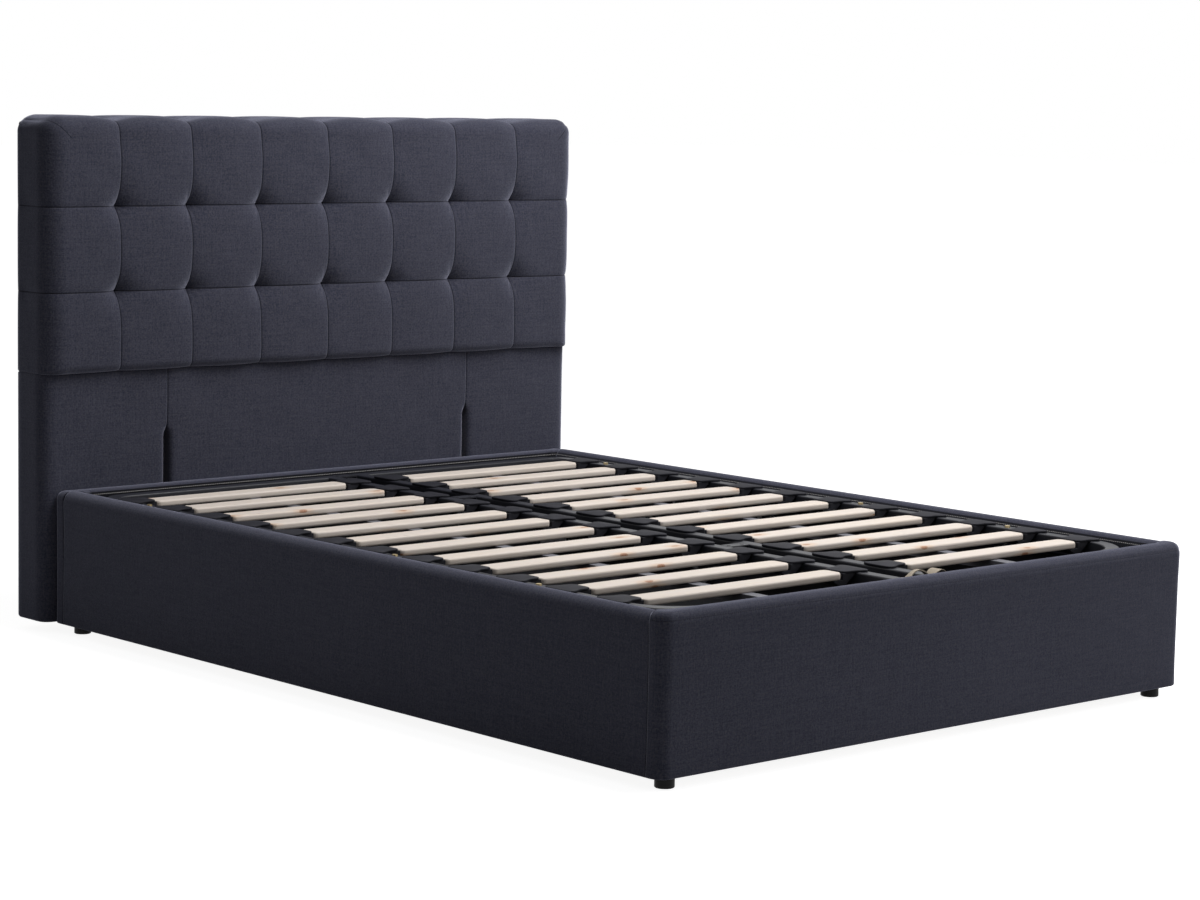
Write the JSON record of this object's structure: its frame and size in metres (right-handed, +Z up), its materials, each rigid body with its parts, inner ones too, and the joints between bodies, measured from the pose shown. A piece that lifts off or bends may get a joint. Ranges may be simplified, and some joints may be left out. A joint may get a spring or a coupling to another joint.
{
  "type": "storage bed base",
  "caption": "Low upholstered bed base with a tufted headboard and a slatted platform that lifts on gas springs over a storage space.",
  "frame": {"origin": "centre of the bounding box at floor level", "axes": "+X across the bed to the right seen from the foot end, +Y from the foot end to the headboard, +Z up"},
  "size_m": [1.66, 2.24, 1.235],
  "materials": {
    "upholstery": "woven linen-look cloth over foam, matte",
    "back_cloth": "thin dust cloth, matte",
    "panel_board": "particle board, raw",
    "lined_board": "thin hardboard lined with black non-woven cloth",
    "timber": "sawn softwood, raw",
    "slat_wood": "planed pine, pale, unvarnished",
    "steel_black": "satin powder coat",
    "steel_grey": "satin powder coat, lighter",
    "holder_plastic": "moulded, fine texture",
    "foot_plastic": "moulded, matte",
    "zinc_bolts": "yellow zinc plate",
    "plated_steel": "zinc plated",
    "bright_steel": "bare bright steel",
    "webbing": "woven webbing, beige"
  },
  "bodies": {
    "base": {"side_board_left": "panel_board", "side_board_right": "panel_board", "foot_board": "panel_board", "head_board": "panel_board", "side_cover_left": "upholstery", "side_cover_right": "upholstery", "foot_cover": "upholstery", "head_cover": "upholstery", "corner_brackets": "bright_steel", "corner_bolts": "plated_steel", "corner_feet": "foot_plastic", "floor_ledgers": "timber", "centre_beam": "timber", "beam_feet": "foot_plastic", "floor_panel_foot": "lined_board", "floor_panel_middle": "lined_board", "floor_panel_head": "lined_board", "headboard_board": "panel_board", "headboard_frame": "timber", "headboard_tufted_pad": "upholstery", "headboard_lower_pad_left": "upholstery", "headboard_lower_pad_centre": "upholstery", "headboard_lower_pad_right": "upholstery", "headboard_back_cloth": "back_cloth", "headboard_bolts": "plated_steel", "lift_base_plate_left": "steel_black", "lift_base_plate_right": "steel_black", "base_plate_bolts": "plated_steel", "base_pins": "plated_steel"},
    "upper_arms": {"upper_arm_left": "steel_black", "upper_arm_right": "steel_black"},
    "lower_arms": {"lower_arm_left": "steel_black", "lower_arm_right": "steel_black"},
    "platform": {"frame_loop_left": "steel_black", "frame_loop_right": "steel_black", "mid_bar_left": "steel_grey", "mid_bar_right": "steel_grey", "frame_ties": "steel_black", "tie_screws": "steel_black", "slats_left": "slat_wood", "slats_right": "slat_wood", "slat_holders_outer_left": "holder_plastic", "slat_holders_outer_right": "holder_plastic", "slat_holders_inner_left": "holder_plastic", "slat_holders_inner_right": "holder_plastic", "frame_bolts": "zinc_bolts", "pull_strap": "webbing", "strap_screws": "plated_steel", "platform_bracket_left": "steel_black", "platform_bracket_right": "steel_black", "bracket_pins": "plated_steel"},
    "gas_rods": {"gas_rod_left": "bright_steel", "gas_rod_right": "bright_steel"},
    "gas_cylinders": {"gas_cylinder_left": "steel_black", "gas_cylinder_right": "steel_black"}
  },
  "joints": [
    {"name": "arm_lift", "type": "hinge", "parent": "base", "child": "upper_arms", "pos_m": [0, 0.16, 0.26], "axis": [1, 0, 0], "range_deg": [0, 64]},
    {"name": "platform_tilt", "type": "hinge", "parent": "upper_arms", "child": "platform", "pos_m": [0, 0.47, 0.26], "axis": [1, 0, 0], "range_deg": [-98.2, 0]},
    {"name": "lower_arm_lift", "type": "hinge", "parent": "base", "child": "lower_arms", "pos_m": [0, 0.05798, 0.19625], "axis": [1, 0, 0], "range_deg": [0, 56.5]},
    {"name": "spring_foot", "type": "hinge", "parent": "base", "child": "gas_rods", "pos_m": [0, 0.326, 0.078], "axis": [1, 0, 0], "range_deg": [0, 55.5]},
    {"name": "spring_head", "type": "hinge", "parent": "platform", "child": "gas_cylinders", "pos_m": [0, 0.555, 0.221], "axis": [1, 0, 0], "range_deg": [0, 89.5]}
  ],
  "couplings": [
    {"joint": "platform_tilt", "follows": "arm_lift", "ratio": -1.5312},
    {"joint": "lower_arm_lift", "follows": "arm_lift", "ratio": 0.88},
    {"joint": "spring_foot", "follows": "arm_lift", "ratio": 0.86324},
    {"joint": "spring_head", "follows": "arm_lift", "ratio": 1.3945}
  ]
}
